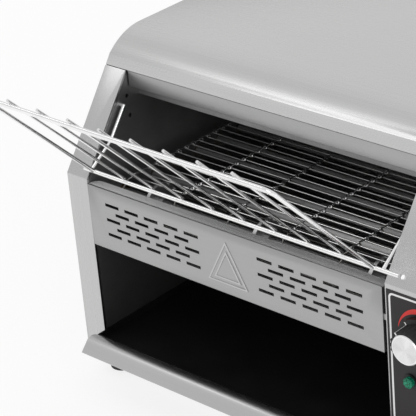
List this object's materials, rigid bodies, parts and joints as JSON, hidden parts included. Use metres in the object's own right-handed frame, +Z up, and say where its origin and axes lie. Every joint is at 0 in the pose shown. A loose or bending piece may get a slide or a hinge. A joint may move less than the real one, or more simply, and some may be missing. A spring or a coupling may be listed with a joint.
{
  "type": "conveyor toaster",
  "caption": "Counter-top conveyor toaster: wire belt between heater tubes, hinged wire feed rack, slotted front panel, control column, and a slide-out toast tray.",
  "frame": {"origin": "centre of the bounding box's footprint, on the plane that the feet stand on", "axes": "+Z up, the front with the rack and tray faces -Y, +X to the right seen from the front"},
  "size_m": [0.494, 0.5592, 0.3859],
  "materials": {
    "steel": "brushed stainless sheet",
    "dark_steel": "heat-darkened sheet",
    "rubber": "matt",
    "black_pan": "black enamel",
    "belt_wire": "bright drawn wire",
    "bar_steel": "turned",
    "bronze": "sintered bush",
    "motor_metal": "painted",
    "quartz": "milky quartz tube",
    "ceramic": "ceramic",
    "chrome_wire": "bright plated wire",
    "overlay": "printed film",
    "knob_black": "moulded",
    "knob_cap": "spun disc",
    "black_moulding": "moulded",
    "green_lens": "faceted lens",
    "amber_lens": "faceted lens"
  },
  "bodies": {
    "cabinet": {"left_side_panel": "steel", "right_side_panel": "steel", "top_cover": "steel", "header_panel": "steel", "back_panel": "steel", "base_pan": "dark_steel", "feet": "rubber", "inner_left_wall": "dark_steel", "inner_right_wall": "dark_steel", "front_panel": "steel", "panel_clip": "steel", "outlet_ceiling": "dark_steel", "rear_chute": "dark_steel", "upper_reflector": "dark_steel", "tray_rails": "dark_steel", "conveyor_belt": "belt_wire", "shaft_bearings": "bronze", "drive_chain": "belt_wire", "drive_motor": "motor_metal", "upper_heaters": "quartz", "lower_heaters": "quartz", "heater_holders": "ceramic", "control_overlay": "overlay", "temperature_switch": "ceramic", "speed_control": "black_moulding", "power_lamp_ring": "black_moulding", "power_lamp_lens": "green_lens", "heating_lamp_ring": "black_moulding", "heating_lamp_lens": "amber_lens", "terminal_block": "ceramic", "cable_gland": "black_moulding", "cover_screws": "bar_steel", "side_screws": "bar_steel"},
    "rack": {"bread_rack": "chrome_wire"},
    "tray": {"toast_tray": "black_pan", "tray_lip": "steel"},
    "front_roller": {"front_shaft": "bar_steel", "front_sprockets": "bar_steel"},
    "rear_roller": {"rear_shaft": "bar_steel", "rear_sprockets": "bar_steel", "driven_sprocket": "bar_steel"},
    "motor_rotor": {"motor_sprocket": "bar_steel"},
    "temperature_dial": {"temperature_knob": "knob_black", "temperature_knob_cap": "knob_cap"},
    "speed_dial": {"speed_knob": "knob_black", "speed_knob_cap": "knob_cap"}
  },
  "joints": [
    {"name": "rack_hinge", "type": "hinge", "parent": "cabinet", "child": "rack", "pos_m": [0, -0.09241, 0.297], "axis": [1, 0, 0], "range_deg": [-110, 0]},
    {"name": "tray_slide", "type": "slide", "parent": "cabinet", "child": "tray", "axis": [0, -1, 0], "range_m": [0, 0.24]},
    {"name": "rear_roller_turn", "type": "hinge", "parent": "cabinet", "child": "rear_roller", "pos_m": [0, 0.19209, 0.20127], "axis": [1, 0, 0], "continuous": true, "deforming": ["conveyor_belt", "drive_chain"]},
    {"name": "front_roller_turn", "type": "hinge", "parent": "cabinet", "child": "front_roller", "pos_m": [0, -0.10041, 0.20127], "axis": [1, 0, 0], "continuous": true},
    {"name": "motor_turn", "type": "hinge", "parent": "cabinet", "child": "motor_rotor", "pos_m": [0, 0.19209, 0.10527], "axis": [1, 0, 0], "continuous": true},
    {"name": "temperature_turn", "type": "hinge", "parent": "cabinet", "child": "temperature_dial", "pos_m": [0.2035, -0.15041, 0.1923], "axis": [0, 1, 0], "range_deg": [-96, 174]},
    {"name": "speed_turn", "type": "hinge", "parent": "cabinet", "child": "speed_dial", "pos_m": [0.2035, -0.15041, 0.0783], "axis": [0, 1, 0], "range_deg": [-135, 135]}
  ],
  "couplings": [
    {"joint": "front_roller_turn", "follows": "rear_roller_turn", "ratio": 1},
    {"joint": "motor_turn", "follows": "rear_roller_turn", "ratio": 1}
  ]
}
